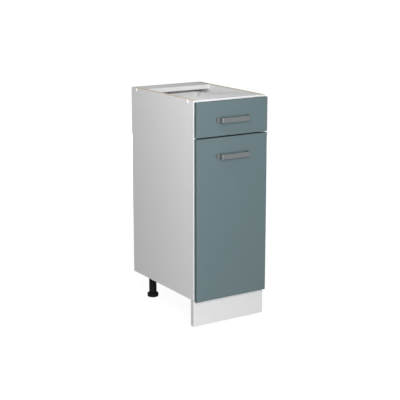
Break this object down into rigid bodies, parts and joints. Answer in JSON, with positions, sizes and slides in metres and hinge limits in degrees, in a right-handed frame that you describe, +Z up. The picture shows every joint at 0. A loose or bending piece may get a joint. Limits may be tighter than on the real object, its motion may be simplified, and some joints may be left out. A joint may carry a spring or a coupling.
{
  "type": "kitchen base cabinet",
  "caption": "Narrow kitchen base cabinet with a roller-runner drawer above a hinged door, strap handles, a plinth and adjustable legs, open on top for a worktop.",
  "frame": {"origin": "on the floor, under the middle of the cabinet's bounding box", "axes": "+X to the right seen from the front, +Y from the fronts to the back panel, +Z up"},
  "size_m": [0.305, 0.4786, 0.813],
  "materials": {
    "white_melamine": "satin white melamine on chipboard",
    "white_hardboard": "smooth white-faced hardboard",
    "teal_front": "satin teal-grey foil on chipboard",
    "brushed_nickel": "brushed nickel",
    "zinc_steel": "bright zinc",
    "cast_zinc": "cast zinc",
    "nickel_hinge": "nickel-plated steel",
    "white_coated_steel": "white powder coat",
    "roller_plastic": "smooth nylon",
    "white_plastic": "smooth white plastic",
    "black_plastic": "fine-grained black plastic",
    "beech": "raw beech",
    "clear_bumper": "soft translucent silicone"
  },
  "bodies": {
    "carcass": {"left_side_panel": "white_melamine", "right_side_panel": "white_melamine", "bottom_panel": "white_melamine", "front_top_rail": "white_melamine", "rear_top_rail": "white_melamine", "shelf": "white_melamine", "plinth": "white_melamine", "back_panel": "white_hardboard", "rail_screws": "zinc_steel", "cam_bolts": "zinc_steel", "back_panel_nails": "zinc_steel", "cabinet_runner_screws": "zinc_steel", "front_roller_axles": "zinc_steel", "hinge_screws": "zinc_steel", "leg_socket_screws": "zinc_steel", "plinth_clip_screws": "zinc_steel", "shelf_pins": "zinc_steel", "cam_locks": "cast_zinc", "upper_hinge_arm": "nickel_hinge", "lower_hinge_arm": "nickel_hinge", "upper_hinge_plate": "nickel_hinge", "lower_hinge_plate": "nickel_hinge", "left_cabinet_runner": "white_coated_steel", "right_cabinet_runner": "white_coated_steel", "screw_caps": "white_plastic", "leg_sockets": "black_plastic", "front_left_leg_tube": "black_plastic", "front_right_leg_tube": "black_plastic", "rear_left_leg_tube": "black_plastic", "rear_right_leg_tube": "black_plastic", "plinth_clips": "black_plastic", "wooden_dowels": "beech"},
    "drawer": {"drawer_front": "teal_front", "drawer_left_side": "white_melamine", "drawer_right_side": "white_melamine", "drawer_back": "white_melamine", "drawer_bottom": "white_hardboard", "drawer_handle": "brushed_nickel", "drawer_handle_screws": "zinc_steel", "left_drawer_runner": "white_coated_steel", "right_drawer_runner": "white_coated_steel", "drawer_runner_screws": "zinc_steel", "rear_roller_axles": "zinc_steel", "drawer_front_bolts": "zinc_steel", "drawer_front_cams": "cast_zinc", "drawer_back_screws": "zinc_steel"},
    "front_rollers": {"front_rollers": "roller_plastic"},
    "rear_rollers": {"rear_rollers": "roller_plastic"},
    "door": {"door_panel": "teal_front", "door_handle": "brushed_nickel", "door_handle_screws": "zinc_steel", "upper_hinge_cup": "nickel_hinge", "lower_hinge_cup": "nickel_hinge", "hinge_pins": "zinc_steel", "hinge_cup_screws": "zinc_steel", "door_bumpers": "clear_bumper"},
    "front_left_foot": {"front_left_foot": "black_plastic"},
    "front_right_foot": {"front_right_foot": "black_plastic"},
    "rear_left_foot": {"rear_left_foot": "black_plastic"},
    "rear_right_foot": {"rear_right_foot": "black_plastic"}
  },
  "joints": [
    {"name": "drawer_slide", "type": "slide", "parent": "carcass", "child": "drawer", "axis": [0, -1, 0], "range_m": [0, 0.3]},
    {"name": "front_roller_turn", "type": "hinge", "parent": "carcass", "child": "front_rollers", "pos_m": [0, -0.18075, 0.707], "axis": [1, 0, 0], "range_deg": [0, 2160]},
    {"name": "rear_roller_turn", "type": "hinge", "parent": "drawer", "child": "rear_rollers", "pos_m": [0, 0.18675, 0.7055], "axis": [1, 0, 0], "range_deg": [0, 2160]},
    {"name": "door_swing", "type": "hinge", "parent": "carcass", "child": "door", "pos_m": [0.1415, -0.20825, 0.38775], "axis": [0, 0, 1], "range_deg": [0, 95]},
    {"name": "front_left_foot_levelling", "type": "slide", "parent": "carcass", "child": "front_left_foot", "axis": [0, 0, -1], "range_m": [0, 0.02]},
    {"name": "front_right_foot_levelling", "type": "slide", "parent": "carcass", "child": "front_right_foot", "axis": [0, 0, -1], "range_m": [0, 0.02]},
    {"name": "rear_left_foot_levelling", "type": "slide", "parent": "carcass", "child": "rear_left_foot", "axis": [0, 0, -1], "range_m": [0, 0.02]},
    {"name": "rear_right_foot_levelling", "type": "slide", "parent": "carcass", "child": "rear_right_foot", "axis": [0, 0, -1], "range_m": [0, 0.02]}
  ],
  "couplings": [
    {"joint": "front_roller_turn", "follows": "drawer_slide", "rad_per_m": 125},
    {"joint": "rear_roller_turn", "follows": "drawer_slide", "rad_per_m": 125}
  ]
}
